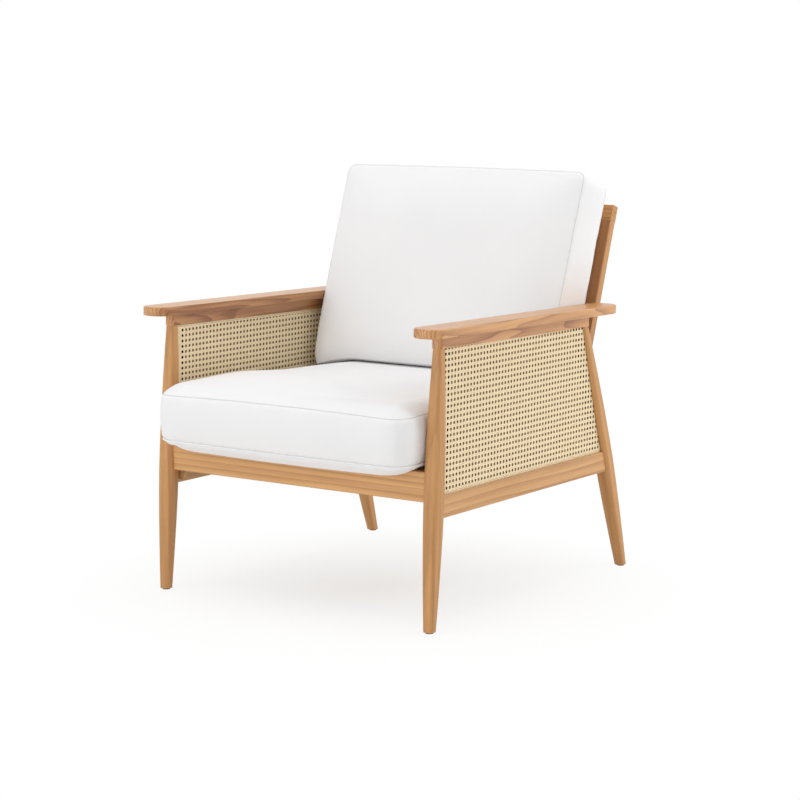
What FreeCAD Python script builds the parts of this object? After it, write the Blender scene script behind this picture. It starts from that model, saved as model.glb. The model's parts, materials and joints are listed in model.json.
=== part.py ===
import FreeCAD, Part
import math
import os

# Club chair: cane-sided wooden frame with a loose seat cushion and a loose back cushion.
# Millimetres. +Z up, the sitter faces -Y, the origin is on the floor under the middle of the chair.

# Overall
overall_depth = 826.0
side_frame_spacing = 668.0
deck_height = 314.0

# Fits
mortise_clearance = 0.15
pin_clearance = 0.1
seating_gap = 0.3
cushion_clearance = 1.0

# Legs
front_foot_setback = 57.0
back_foot_setback = 23.0
front_leg_rake = 3.2
back_leg_rake = 17.8
foot_side = 21.0
knee_side = 35.0
leg_top_side = 20.0
knee_height = 250.0
leg_corner_share = 0.29
lower_taper_power = 1.46
upper_taper_power = 1.8
leg_sections = 11
glide_thickness = 2.5
glide_radius = 8.0
glide_pin_radius = 2.0
glide_pin_length = 12.0

# Side frames
side_rail_drop = 91.0
side_rail_height = 44.5
side_rail_thickness = 22.0
side_rail_recess = 6.5
side_rail_end_gap = 4.0
rail_edge_radius = 2.0
arm_height = 554.0
arm_slope = 1.0
arm_rail_width = 24.0
arm_rail_height = 23.0
arm_rail_corner = 6.0
armrest_width = 66.0
armrest_thickness = 19.0
armrest_corner = 30.0
armrest_edge_radius = 3.0
armrest_outset = 4.5
armrest_front_overhang = 66.0
armrest_rear_overhang = 96.0

# Cane panels
panel_core_thickness = 8.0
cane_thickness = 2.0
groove_depth = 5.0
cane_pitch = 36.0
cane_gap = 21.0
cane_margin = 6.0

# Seat frame
front_rail_setback = 66.0
front_rail_thickness = 20.0
front_rail_height = 60.0
front_rail_housing = 5.0
front_tenon_thickness = 10.0
front_tenon_height = 30.0
front_tenon_length = 14.0
bearer_height = 72.0
slat_count = 6
slat_width = 62.0
slat_thickness = 12.0
slat_end_inset = 3.0
corner_block_leg = 46.0
corner_block_height = 36.0

# Back frame
back_lean = 18.9
back_frame_length = 575.0
upright_foot_lift = 8.0
upright_foot_lead = 103.97
upright_inset = 32.0
upright_width = 34.0
upright_depth = 21.0
crest_height = 35.0
crest_tenon_width = 16.0
crest_tenon_depth = 10.0
crest_tenon_length = 20.0
rear_rail_start = 82.0
rear_rail_height = 60.0
back_slat_count = 3
back_slat_height = 62.0
back_slat_thickness = 15.0
back_housing = 8.0
spacer_radius = 9.0

# Fasteners
dowel_radius = 3.0
leg_dowel_depth = 12.0
rail_dowel_depth = 15.0
armrest_dowel_depth = 12.0
armrest_dowel_count = 3
screw_head_radius = 4.0
screw_head_height = 3.0
screw_shank_radius = 2.0
slat_screw_length = 32.0
block_screw_length = 26.0
bolt_head_radius = 6.0
bolt_head_height = 4.0
bolt_shank_radius = 3.0
bolt_end_gap = 3.0
foot_bolt_low = 20.0
foot_bolt_high = 50.0

# Seat cushion
seat_side_inset = 30.0
seat_rear_gap = 8.0
seat_corner = 36.0
seat_low_seam_lift = 10.0
seat_border = 97.0
seat_seam_rise = 9.0
seat_low_seam_rise = 3.0
seat_swell = 3.0
seat_crown = 16.0
seat_crown_reach = 120.0
seat_rear_reach = 30.0
seat_tilt = 1.6
seat_droop = 20.0
seat_droop_reach = 40.0

# Back cushion
back_cushion_sink = 7.0
back_cushion_height = 459.0
back_cushion_border = 100.0
back_cushion_corner = 16.0
back_seam_rise = 2.0
back_seam_bow = 3.0
back_front_crown = 21.0
back_rear_crown = 46.3
back_crown_reach = 130.0

# Shared cushion form
crown_steps = 3
crown_power = 2.0
seam_draw_in = 2.0

V = FreeCAD.Vector
parallel_angle = 0.05
x_axis = V(1, 0, 0)

# Places that follow from the sizes
side_x = side_frame_spacing / 2
front_y = -overall_depth / 2
front_foot_y = front_y + front_foot_setback
back_foot_y = overall_depth / 2 - back_foot_setback
front_lean = math.tan(math.radians(front_leg_rake))
back_leg_lean = -math.tan(math.radians(back_leg_rake))
arm_fall = math.tan(math.radians(arm_slope))
side_rail_bottom = deck_height - side_rail_drop
side_rail_top = side_rail_bottom + side_rail_height
side_rail_outer = side_x + knee_side / 2 - side_rail_recess
side_rail_inner = side_rail_outer - side_rail_thickness
panel_half = panel_core_thickness / 2 + cane_thickness
bearer_top = deck_height - slat_thickness
bearer_low = bearer_top - bearer_height
upright_outer = side_x - upright_inset
bearer_thickness = side_rail_inner - upright_outer
front_rail_front = front_y + front_rail_setback
front_rail_rear = front_rail_front + front_rail_thickness


def axis_y(foot_y, lean, z):
    """Y of a leg's axis at height z."""
    return foot_y + lean * z


front_top_y = axis_y(front_foot_y, front_lean, arm_height)


def arm_underside(y):
    """Height of the arm rail's underside at y."""
    return arm_height - arm_fall * (y - front_top_y)


back_top_z = arm_underside(back_foot_y) / (1 + back_leg_lean * arm_fall)
back_top_y = axis_y(back_foot_y, back_leg_lean, back_top_z)
arm_length = math.hypot(back_top_y - front_top_y, arm_height - back_top_z)
arm_frame = FreeCAD.Placement(V(0, front_top_y, arm_height), FreeCAD.Rotation(x_axis, -arm_slope))


def placed(shape, placement):
    """A copy of a shape moved by a placement."""
    copy = shape.copy()
    copy.Placement = placement.multiply(copy.Placement)
    return copy


def only_solid(shape):
    """The single solid that a boolean leaves."""
    return shape.Solids[0]


def mirrored(shape):
    """The same piece on the other side of the chair."""
    return shape.mirror(V(0, 0, 0), x_axis)


def box(x_low, x_high, y_low, y_high, z_low, z_high):
    return Part.makeBox(x_high - x_low, y_high - y_low, z_high - z_low, V(x_low, y_low, z_low))


def rounded_rectangle(x_low, x_high, y_low, y_high, radius, z):
    """A level wire of four lines and four quarter arcs."""
    diagonal = radius * (1 - math.sqrt(0.5))
    edges = []
    for sx, sy in ((1, -1), (1, 1), (-1, 1), (-1, -1)):
        corner = V(x_high if sx > 0 else x_low, y_high if sy > 0 else y_low, z)
        along_x = corner - V(sx * radius, 0, 0)
        along_y = corner - V(0, sy * radius, 0)
        middle = corner - V(sx * diagonal, sy * diagonal, 0)
        first, last = (along_x, along_y) if sx * sy < 0 else (along_y, along_x)
        if edges:
            edges.append(Part.LineSegment(edges[-1].Vertexes[-1].Point, first).toShape())
        edges.append(Part.Arc(first, middle, last).toShape())
    edges.append(Part.LineSegment(edges[-1].Vertexes[-1].Point, edges[0].Vertexes[0].Point).toShape())
    return Part.Wire(edges)


def rounded_along(shape, direction, radius):
    """The straight edges that run in one direction get a radius."""
    edges = []
    for edge in shape.Edges:
        run = edge.Vertexes[-1].Point - edge.Vertexes[0].Point
        if run.Length > 0 and math.sin(run.getAngle(direction)) < parallel_angle:
            edges.append(edge)
    return shape.makeFillet(radius, edges)


def yz_prism(points, x_low, x_high):
    """A prism across the chair over an outline of (y, z) points."""
    outline = [V(x_low, y, z) for y, z in points]
    face = Part.Face(Part.makePolygon(outline + outline[:1]))
    return face.extrude(V(x_high - x_low, 0, 0))


def turned_pin(head_radius, head_height, shank_radius, length, spread=0.0):
    """A screw or bolt along +Z, its head's underside at the origin; spread widens it into its hole."""
    head = Part.makeCylinder(head_radius + spread, head_height + spread, V(0, 0, -head_height - spread))
    shank = Part.makeCylinder(shank_radius + spread, length + spread)
    return head.fuse(shank).removeSplitter()


# Legs
def leg_side(z, top_z):
    """Side of a leg's square section at height z."""
    if z < knee_height:
        share = (knee_height - z) / knee_height
        return knee_side - (knee_side - foot_side) * share ** lower_taper_power
    share = (z - knee_height) / (top_z - knee_height)
    return knee_side - (knee_side - leg_top_side) * share ** upper_taper_power


def leg_blank(foot_y, lean, top_z):
    """The swelling, tapering leg on the right side, trimmed flat under the arm rail."""
    sections = []
    trim = leg_top_side * arm_fall
    rise = top_z + trim - glide_thickness
    for step in range(leg_sections + 1):
        z = glide_thickness + rise * step / leg_sections
        side = leg_side(z, top_z)
        half = side / 2
        y = axis_y(foot_y, lean, z)
        corner = leg_corner_share * side
        sections.append(rounded_rectangle(side_x - half, side_x + half, y - half, y + half, corner, z))
    blank = Part.makeLoft(sections, True, True)
    above = box(0, side_x * 2, -overall_depth, overall_depth, 0, leg_top_side)
    return blank.cut(placed(above, arm_frame))


def side_rail_blank(spread=0.0):
    """The rail between the legs, its ends let into them; spread widens it into its mortises."""
    low = side_rail_bottom - spread
    high = side_rail_top + spread
    gap = side_rail_end_gap - spread
    outline = [
        (axis_y(front_foot_y, front_lean, low) + gap, low),
        (axis_y(back_foot_y, back_leg_lean, low) - gap, low),
        (axis_y(back_foot_y, back_leg_lean, high) - gap, high),
        (axis_y(front_foot_y, front_lean, high) + gap, high),
    ]
    return yz_prism(outline, side_rail_inner - spread, side_rail_outer + spread)


def front_rail_blank(spread=0.0):
    """The front rail with a stub housing and a tenon at each end."""
    end = side_x - knee_side / 2 + front_rail_housing + spread
    low = deck_height - front_rail_height - spread
    rail = box(-end, end, front_rail_front - spread, front_rail_rear + spread, low, deck_height + spread)
    tenon_y = (front_rail_front + front_rail_rear) / 2
    tenon_z = (deck_height + side_rail_top) / 2
    tenon_end = end + front_tenon_length
    half_thick = front_tenon_thickness / 2 + spread
    half_tall = front_tenon_height / 2 + spread
    tenon = box(-tenon_end, tenon_end, tenon_y - half_thick, tenon_y + half_thick,
                tenon_z - half_tall, tenon_z + half_tall)
    return rail, tenon


# Cane panel outline, let into the legs and rails by the groove's depth
panel_low = side_rail_top - groove_depth


def panel_corner(foot_y, lean, top_y, top_z, side):
    """Lower and upper corner of a panel at one leg; side is +1 at the front leg and -1 at the back."""
    low_y = axis_y(foot_y, lean, panel_low) + side * (leg_side(panel_low, top_z) / 2 - groove_depth)
    high_y = top_y + side * (leg_top_side / 2 - groove_depth)
    return (low_y, panel_low), (high_y, arm_underside(high_y) + groove_depth)


front_low, front_high = panel_corner(front_foot_y, front_lean, front_top_y, arm_height, 1)
back_low, back_high = panel_corner(back_foot_y, back_leg_lean, back_top_y, back_top_z, -1)


def edge_y(low, high, z):
    """Y of a panel's slanting end at height z."""
    return low[0] + (high[0] - low[0]) * (z - low[1]) / (high[1] - low[1])


def panel_prism(x_low, x_high, spread=0.0):
    outline = [
        (front_low[0] - spread, front_low[1] - spread),
        (back_low[0] + spread, back_low[1] - spread),
        (back_high[0] + spread, back_high[1] + spread),
        (front_high[0] - spread, front_high[1] + spread),
    ]
    return yz_prism(outline, x_low, x_high)


def cane_sheet(x_low):
    """An open cane sheet: square gaps on a square grid wherever a whole gap fits between the rails."""
    inset = groove_depth + cane_margin
    outline = [front_low, back_low, back_high, front_high]
    wires = [Part.makePolygon([V(x_low, y, z) for y, z in outline + outline[:1]])]
    half = cane_gap / 2
    square = ((-half, -half), (half, -half), (half, half), (-half, half))
    rows = int((back_high[1] - front_low[1] - 2 * inset - cane_gap) / cane_pitch) + 1
    columns = int((back_low[0] - front_low[0]) / cane_pitch) + 1
    row_margin = (back_high[1] + front_low[1] - (rows - 1) * cane_pitch) / 2
    for row in range(rows):
        z = row_margin + row * cane_pitch
        first = edge_y(front_low, front_high, z + half) + inset
        last = edge_y(back_low, back_high, z + half) - inset
        for column in range(columns):
            y = front_high[0] + inset + half + column * cane_pitch
            if y - half >= first and y + half <= last:
                corners = [V(x_low, y + dy, z + dz) for dy, dz in square]
                wires.append(Part.makePolygon(corners + corners[:1]))
    return Part.makeFace(wires, "Part::FaceMakerBullseye").extrude(V(cane_thickness, 0, 0))


# Arm, built level in its own frame: y runs back from the front leg's top, z up from the rail's underside
def arm_rail_blank():
    half = arm_rail_width / 2
    end = leg_top_side / 2
    outline = rounded_rectangle(side_x - half, side_x + half, -end, arm_length + end, arm_rail_corner, 0)
    return placed(Part.Face(outline).extrude(V(0, 0, arm_rail_height)), arm_frame)


def armrest_blank():
    centre = side_x + armrest_outset
    half = armrest_width / 2
    outline = rounded_rectangle(centre - half, centre + half, -armrest_front_overhang,
                                arm_length + armrest_rear_overhang, armrest_corner, arm_rail_height)
    slab = Part.Face(outline).extrude(V(0, 0, armrest_thickness))
    rims = [edge for edge in slab.Edges if edge.BoundBox.ZLength < armrest_edge_radius]
    return placed(slab.makeFillet(armrest_edge_radius, rims), arm_frame)


def dowel(bottom, length, spread=0.0):
    return Part.makeCylinder(dowel_radius + spread, length + 2 * spread, bottom - V(0, 0, spread))


def leg_dowels(spread=0.0):
    """Dowels from the legs' tops into the arm rail, set over the middle of the leg at their lower end."""
    length = leg_dowel_depth + rail_dowel_depth
    pins = []
    for top_y, lean in ((0.0, front_lean), (arm_length, back_leg_lean)):
        y = top_y - lean * leg_dowel_depth
        pins.append(placed(dowel(V(side_x, y, -leg_dowel_depth), length, spread), arm_frame))
    return pins


def arm_dowels(spread=0.0):
    """Dowels between the arm rail and the armrest."""
    length = armrest_dowel_depth * 2
    pins = []
    for index in range(armrest_dowel_count):
        y = arm_length * (index + 1) / (armrest_dowel_count + 1)
        bottom = V(side_x, y, arm_rail_height - armrest_dowel_depth)
        pins.append(placed(dowel(bottom, length, spread), arm_frame))
    return pins


# Back frame, built upright in its own frame: y is depth from the front face, z runs up the slope
lean_sin = math.sin(math.radians(back_lean))
lean_cos = math.cos(math.radians(back_lean))
back_foot_z = bearer_low + upright_foot_lift + upright_depth * lean_sin
back_foot = V(0, axis_y(back_foot_y, back_leg_lean, back_foot_z) - upright_foot_lead, back_foot_z)
back_frame = FreeCAD.Placement(back_foot, FreeCAD.Rotation(x_axis, -back_lean))
upright_inner = upright_outer - upright_width
upright_top = back_frame_length - crest_height
upright_middle = upright_depth / 2
rear_rail_top = rear_rail_start + rear_rail_height
back_slat_gap = (upright_top - rear_rail_top - back_slat_count * back_slat_height) / (back_slat_count + 1)


def cross_piece(low, high, front, depth, spread=0.0):
    """A rail or slat between the uprights, its ends let into them."""
    end = upright_inner + back_housing + spread
    return box(-end, end, front - spread, front + depth + spread, low - spread, high + spread)


def cross_pieces(spread=0.0):
    """The rear seat rail and the back slats, from the bottom up."""
    rail_front = (upright_depth - back_slat_thickness) / 2
    pieces = [cross_piece(rear_rail_start, rear_rail_top, rail_front, back_slat_thickness, spread)]
    for index in range(back_slat_count):
        low = rear_rail_top + back_slat_gap + index * (back_slat_height + back_slat_gap)
        pieces.append(cross_piece(low, low + back_slat_height, 0.0, back_slat_thickness, spread))
    return pieces


def crest_tenon(spread=0.0):
    middle = (upright_inner + upright_outer) / 2
    half_wide = crest_tenon_width / 2 + spread
    half_deep = crest_tenon_depth / 2 + spread
    return box(middle - half_wide, middle + half_wide, upright_middle - half_deep, upright_middle + half_deep,
               upright_top - crest_tenon_length, upright_top + crest_tenon_length + spread)


# Where an upright's middle line crosses the back leg's axis
upright_lean = lean_sin / lean_cos
upright_line = back_frame.multVec(V(0, upright_middle, 0))
crossing_z = (back_foot_y - upright_line.y + upright_lean * upright_line.z) / (upright_lean - back_leg_lean)
crossing_y = axis_y(back_foot_y, back_leg_lean, crossing_z)
leg_inner_at_crossing = side_x - leg_side(crossing_z, back_top_z) / 2


def across(y, z):
    """A placement that turns +Z to +X, with its origin on the upright's inner face."""
    return FreeCAD.Placement(V(upright_inner, y, z), FreeCAD.Rotation(V(0, 1, 0), 90))


def upright_bolts(spread=0.0):
    """Two bolts through an upright's foot into the bearer, and one at its crossing with the back leg."""
    foot_length = upright_width + bearer_thickness - bolt_end_gap
    leg_length = side_x - upright_inner - bolt_end_gap
    bolts = []
    for height in (foot_bolt_low, foot_bolt_high):
        spot = back_frame.multVec(V(0, upright_middle, height))
        bolt = turned_pin(bolt_head_radius, bolt_head_height, bolt_shank_radius, foot_length, spread)
        bolts.append(placed(bolt, across(spot.y, spot.z)))
    bolt = turned_pin(bolt_head_radius, bolt_head_height, bolt_shank_radius, leg_length, spread)
    bolts.append(placed(bolt, across(crossing_y, crossing_z)))
    return bolts


# Seat deck
bearer_front = axis_y(front_foot_y, front_lean, bearer_top) + knee_side / 2 + seating_gap
bearer_rear = axis_y(back_foot_y, back_leg_lean, bearer_top) - knee_side / 2 - seating_gap
deck_front = bearer_front + slat_end_inset
deck_rear = back_frame.multVec(V(0, 0, rear_rail_start)).y - seat_rear_gap
slat_step = (deck_rear - deck_front - slat_width) / (slat_count - 1)
slat_end = side_rail_inner - slat_end_inset
slat_screw_x = (upright_outer + slat_end) / 2


def slat_middle(index):
    return deck_front + slat_width / 2 + index * slat_step


def slat_screw(index, spread=0.0):
    """The screw at a slat's right end, its head sunk flush with the slat's top."""
    pin = turned_pin(screw_head_radius, screw_head_height, screw_shank_radius, slat_screw_length, spread)
    down = FreeCAD.Rotation(x_axis, 180)
    spot = V(slat_screw_x, slat_middle(index), deck_height - screw_head_height)
    return placed(pin, FreeCAD.Placement(spot, down))


block_low = bearer_top - seating_gap - corner_block_height


def corner_block_blank():
    """A three-cornered block in the angle between the front rail and the bearer."""
    corner = V(upright_outer, front_rail_rear, block_low)
    points = [corner, corner - V(corner_block_leg, 0, 0), corner + V(0, corner_block_leg, 0)]
    face = Part.Face(Part.makePolygon([points[0], points[2], points[1], points[0]]))
    return face.extrude(V(0, 0, corner_block_height))


def block_screws(spread=0.0):
    """One screw into the front rail and one into the bearer, their heads in pockets of the slanting face."""
    half_wall = block_screw_length / 2
    middle_z = block_low + corner_block_height / 2
    offset = corner_block_leg / 2
    lift = screw_head_radius + screw_shank_radius
    pin = turned_pin(screw_head_radius, screw_head_height, screw_shank_radius, block_screw_length, spread)
    to_rail = FreeCAD.Placement(V(upright_outer - offset, front_rail_rear + half_wall, middle_z + lift),
                                FreeCAD.Rotation(x_axis, 90))
    to_bearer = FreeCAD.Placement(V(upright_outer - half_wall, front_rail_rear + offset, middle_z - lift),
                                  FreeCAD.Rotation(V(0, 1, 0), 90))
    return [placed(pin, to_rail), placed(pin, to_bearer)]


def block_pockets():
    """The way in for the two screws' heads, from the slanting face."""
    reach = corner_block_leg
    pin = Part.makeCylinder(screw_head_radius + pin_clearance, reach, V(0, 0, -reach))
    pockets = []
    for screw in block_screws():
        pockets.append(placed(pin, screw.Placement))
    return pockets


def glide(foot_y, lean, spread=0.0):
    """A nail-on glide under a foot; spread widens its pin into the hole."""
    centre = V(side_x, axis_y(foot_y, lean, 0), 0)
    disc = Part.makeCylinder(glide_radius, glide_thickness, centre)
    top = centre + V(0, 0, glide_thickness)
    pin = Part.makeCylinder(glide_pin_radius + spread, glide_pin_length + spread, top)
    return pin if spread else disc.fuse(pin).removeSplitter()


# Cushions, built lying flat: a border between two sewn edges, with a crown above and below
def cushion_ring(half_width, low, high, corner, level, rise=0.0, side_bow=0.0, end_bow=0.0, tilt=0.0):
    """A closed ring of side and corner arcs. Each side bows outwards, and all but the high end rise."""
    diagonal = corner * (1 - math.sqrt(0.5))

    def point(x, y, lift=0.0):
        return V(x, y, level + tilt * (y - high) + lift)

    edges = []
    for sx, sy in ((1, -1), (1, 1), (-1, 1), (-1, -1)):
        cx = sx * half_width
        cy = high if sy > 0 else low
        along_x = point(cx - sx * corner, cy)
        along_y = point(cx, cy - sy * corner)
        middle = point(cx - sx * diagonal, cy - sy * diagonal)
        first, last = (along_x, along_y) if sx * sy < 0 else (along_y, along_x)
        edges.append(Part.Arc(first, middle, last).toShape())
    ring = []
    for index, arc in enumerate(edges):
        start = arc.Vertexes[-1].Point
        end = edges[(index + 1) % len(edges)].Vertexes[0].Point
        bow = (V(side_bow, 0, rise), V(0, end_bow, 0), V(-side_bow, 0, rise), V(0, -end_bow, rise))[index]
        middle = (start + end) * 0.5 + bow
        side = Part.Arc(start, middle, end) if bow.Length else Part.LineSegment(start, end)
        ring.append(arc)
        ring.append(side.toShape())
    return Part.Wire(ring)


def crown_rings(half_width, low, high, corner, seam, crown, reach, high_reach, rise, end_bow, tilt):
    """Rings from a sewn edge up to the flat middle of a crown; a crown below zero swells downwards."""
    rings = []
    for step in range(crown_steps + 1):
        share = step / crown_steps
        inset = reach * share
        level = seam + crown * (1 - (1 - share) ** crown_power)
        fade = 1 - share
        rings.append(cushion_ring(half_width - inset, low + inset, high - high_reach * share,
                                  corner + inset / 2, level, rise * fade, -seam_draw_in * fade,
                                  end_bow * fade, tilt * share))
    return rings


def cushion(upper, border, lower):
    """Skins of the upper crown, the border and the lower crown, sewn into one solid."""
    skins = []
    for rings in (upper, border, lower):
        skins.extend(Part.makeLoft(rings, False, False).Faces)
    for cap in (upper[-1], lower[-1]):
        skins.append(Part.Face(cap))
    shell = Part.makeShell(skins)
    shell.sewShape()
    solid = Part.Solid(shell)
    if solid.Volume < 0:
        solid.reverse()
    return solid


seat_half_width = side_x - seat_side_inset
seat_low_seam = deck_height + seat_low_seam_lift
seat_high_seam = seat_low_seam + seat_border
seat_front = front_y + seat_swell
seat_rear = deck_rear
seat_fall = math.tan(math.radians(seat_tilt))
seat_top = seat_high_seam + seat_crown
seat_cap_rear = seat_rear - seat_rear_reach


def seat_cushion_blank():
    plan = (seat_half_width, seat_front, seat_rear, seat_corner)
    upper = crown_rings(*plan, seat_high_seam, seat_crown, seat_crown_reach, seat_rear_reach,
                        seat_seam_rise, -seam_draw_in, -seat_fall)
    lower = crown_rings(*plan, seat_low_seam, -seat_droop, seat_droop_reach, seat_droop_reach,
                        seat_low_seam_rise, -seam_draw_in, 0.0)
    middle = cushion_ring(seat_half_width + seat_swell, front_y, seat_rear + seat_swell, seat_corner,
                          (seat_low_seam + seat_high_seam) / 2)
    pillow = cushion(upper, [lower[0], middle, upper[0]], lower)
    deck_start = front_rail_front - cushion_clearance
    deck = box(-side_x, side_x, deck_start, overall_depth, 0, deck_height + seating_gap)
    return pillow.cut(deck)


def back_cushion_blank():
    """The cushion leans as the back frame does, and its rear crown reaches the slats."""
    half_width = side_x + armrest_outset - armrest_width / 2 - cushion_clearance
    thickness = back_cushion_border + back_rear_crown + seating_gap
    foot_z = seat_top - back_cushion_sink
    foot_y = back_foot.y - (thickness + (back_foot.z - foot_z) * lean_sin) / lean_cos
    foot = V(0, foot_y, foot_z)
    plan = (half_width, 0.0, back_cushion_height, back_cushion_corner)
    shape = (back_crown_reach, back_crown_reach, back_seam_rise, back_seam_bow, 0.0)
    upper = crown_rings(*plan, 0.0, back_front_crown, *shape)
    lower = crown_rings(*plan, -back_cushion_border, -back_rear_crown, *shape)
    middle = cushion_ring(half_width, 0.0, back_cushion_height, back_cushion_corner, -back_cushion_border / 2)
    pillow = cushion(upper, [lower[0], middle, upper[0]], lower)
    stood = FreeCAD.Placement(foot, FreeCAD.Rotation(x_axis, 90 - back_lean))
    below = box(-side_x, side_x, -overall_depth, overall_depth, -deck_height, seating_gap)
    seat_plane = FreeCAD.Placement(V(0, seat_cap_rear, seat_top), FreeCAD.Rotation(x_axis, -seat_tilt))
    return placed(pillow, stood).cut(placed(below, seat_plane))


nodes = {}


def add_pair(name, shape):
    """A right-hand piece and its mirror image."""
    nodes[name + "_right"] = only_solid(shape)
    nodes[name + "_left"] = only_solid(mirrored(shape))


def add_group(name, shapes):
    """Equal pieces on both sides as one group of separate solids."""
    nodes[name] = Part.makeCompound(shapes + [mirrored(shape) for shape in shapes])


# Side frames
front_leg = leg_blank(front_foot_y, front_lean, arm_height)
back_leg = leg_blank(back_foot_y, back_leg_lean, back_top_z)
rail_mortise = side_rail_blank(mortise_clearance)
panel_groove = panel_prism(side_x - panel_half - mortise_clearance, side_x + panel_half + mortise_clearance,
                           mortise_clearance)
wide_housing, wide_tenon = front_rail_blank(mortise_clearance)
front_dowel_hole, back_dowel_hole = leg_dowels(pin_clearance)
leg_cuts = [rail_mortise, panel_groove]
front_leg = front_leg.cut(leg_cuts + [wide_housing, wide_tenon, front_dowel_hole,
                                      glide(front_foot_y, front_lean, pin_clearance)])
bolt_holes = upright_bolts(pin_clearance)
back_leg = back_leg.cut(leg_cuts + [back_dowel_hole, bolt_holes[-1],
                                    glide(back_foot_y, back_leg_lean, pin_clearance)])
side_rail = rounded_along(side_rail_blank(), V(0, 1, 0), rail_edge_radius).cut(panel_groove)
arm_rail = arm_rail_blank().cut([panel_groove, front_dowel_hole, back_dowel_hole] + arm_dowels(pin_clearance))
armrest = armrest_blank().cut(arm_dowels(pin_clearance))
add_pair("front_leg", front_leg)
add_pair("back_leg", back_leg)
add_pair("side_rail", side_rail)
add_pair("arm_rail", arm_rail)
add_pair("armrest", armrest)
add_pair("panel_core", panel_prism(side_x - panel_core_thickness / 2, side_x + panel_core_thickness / 2))
add_pair("cane_outer", cane_sheet(side_x + panel_core_thickness / 2))
add_pair("cane_inner", cane_sheet(side_x - panel_half))

# Seat frame
rail_body, rail_tenon = front_rail_blank()
rounded_rail = rounded_along(rail_body, x_axis, rail_edge_radius)
screws_in_block = block_screws(pin_clearance)
block_screws_left = [mirrored(hole) for hole in screws_in_block]
nodes["front_rail"] = only_solid(rounded_rail.fuse(rail_tenon).cut(screws_in_block + block_screws_left))
bearer = box(upright_outer, side_rail_inner, bearer_front, bearer_rear, bearer_low, bearer_top)
slat_holes = [slat_screw(index, pin_clearance) for index in range(slat_count)]
add_pair("seat_bearer", bearer.cut(slat_holes + bolt_holes + screws_in_block))
for index in range(slat_count):
    middle = slat_middle(index)
    slat = box(-slat_end, slat_end, middle - slat_width / 2, middle + slat_width / 2, bearer_top, deck_height)
    slat = rounded_along(slat, x_axis, rail_edge_radius)
    hole = slat_holes[index]
    nodes["seat_slat_%d" % (index + 1)] = only_solid(slat.cut([hole, mirrored(hole)]))
add_pair("corner_block", corner_block_blank().cut(screws_in_block + block_pockets()))

# Back frame
upright = box(upright_inner, upright_outer, 0, upright_depth, 0, upright_top)
upright = rounded_along(upright, V(0, 0, 1), rail_edge_radius).fuse(crest_tenon())
upright = placed(upright.cut(cross_pieces(mortise_clearance)), back_frame).cut(bolt_holes)
add_pair("back_upright", upright)
crest = box(-upright_outer, upright_outer, 0, upright_depth, upright_top, back_frame_length)
crest = rounded_along(crest, x_axis, rail_edge_radius)
wide_crest_tenon = crest_tenon(mortise_clearance)
crest = crest.cut([wide_crest_tenon, mirrored(wide_crest_tenon)])
nodes["crest_rail"] = only_solid(placed(crest, back_frame))
for index, piece in enumerate(cross_pieces()):
    name = "back_slat_%d" % index if index else "rear_seat_rail"
    rounded = rounded_along(piece, x_axis, rail_edge_radius)
    nodes[name] = only_solid(placed(rounded, back_frame))
spacer_length = leg_inner_at_crossing - upright_outer - seating_gap
spacer = Part.makeCylinder(spacer_radius, spacer_length, V(upright_outer, crossing_y, crossing_z), x_axis)
add_group("back_spacers", [spacer.cut(bolt_holes[-1])])

# Fasteners and glides
add_group("leg_top_dowels", leg_dowels())
add_group("armrest_dowels", arm_dowels())
add_group("slat_screws", [slat_screw(index) for index in range(slat_count)])
add_group("corner_block_screws", block_screws())
add_group("upright_bolts", upright_bolts())
add_group("foot_glides", [glide(front_foot_y, front_lean), glide(back_foot_y, back_leg_lean)])

# Cushions
nodes["seat_cushion"] = only_solid(seat_cushion_blank())
nodes["back_cushion"] = only_solid(back_cushion_blank())

os.makedirs("parts", exist_ok=True)
for name, shape in nodes.items():
    shape.exportStep("parts/%s.step" % name)
print("pieces", len(nodes))
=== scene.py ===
# Club chair: honey wood frame, woven cane sides, white seat and back cushions. Metres and radians.

import json
import math

import bmesh
import bpy
from mathutils import Matrix, Vector
from mathutils.bvhtree import BVHTree
from mathutils.kdtree import KDTree
from mathutils.noise import noise as noise3

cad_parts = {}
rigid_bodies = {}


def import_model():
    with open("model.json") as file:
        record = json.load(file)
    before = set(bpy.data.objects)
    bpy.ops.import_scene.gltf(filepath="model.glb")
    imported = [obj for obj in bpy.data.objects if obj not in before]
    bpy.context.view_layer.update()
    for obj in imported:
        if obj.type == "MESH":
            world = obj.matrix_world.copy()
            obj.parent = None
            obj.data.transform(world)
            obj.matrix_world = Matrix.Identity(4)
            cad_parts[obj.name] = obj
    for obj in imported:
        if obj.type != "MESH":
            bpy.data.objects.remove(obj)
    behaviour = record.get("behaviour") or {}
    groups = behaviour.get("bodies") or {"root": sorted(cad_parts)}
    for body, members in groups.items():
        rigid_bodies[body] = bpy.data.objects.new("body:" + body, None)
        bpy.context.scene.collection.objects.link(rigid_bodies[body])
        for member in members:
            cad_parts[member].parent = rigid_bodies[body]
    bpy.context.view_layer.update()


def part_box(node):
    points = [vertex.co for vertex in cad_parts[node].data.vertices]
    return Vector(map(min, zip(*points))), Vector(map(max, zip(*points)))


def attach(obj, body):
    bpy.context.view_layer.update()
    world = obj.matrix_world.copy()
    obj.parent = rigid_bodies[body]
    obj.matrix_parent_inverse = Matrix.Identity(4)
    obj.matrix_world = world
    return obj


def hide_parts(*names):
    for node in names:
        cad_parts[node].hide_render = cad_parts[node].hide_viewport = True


for leftover in list(bpy.data.objects):
    bpy.data.objects.remove(leftover)
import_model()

mm = 0.001
sides = ("left", "right")
mix_first, mix_second, mix_result = 6, 7, 2  # colour sockets of a Mix node
across = Vector((1, 0, 0))
deep = Vector((0, 1, 0))
upward = Vector((0, 0, 1))
downward = Vector((0, 0, -1))

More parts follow.
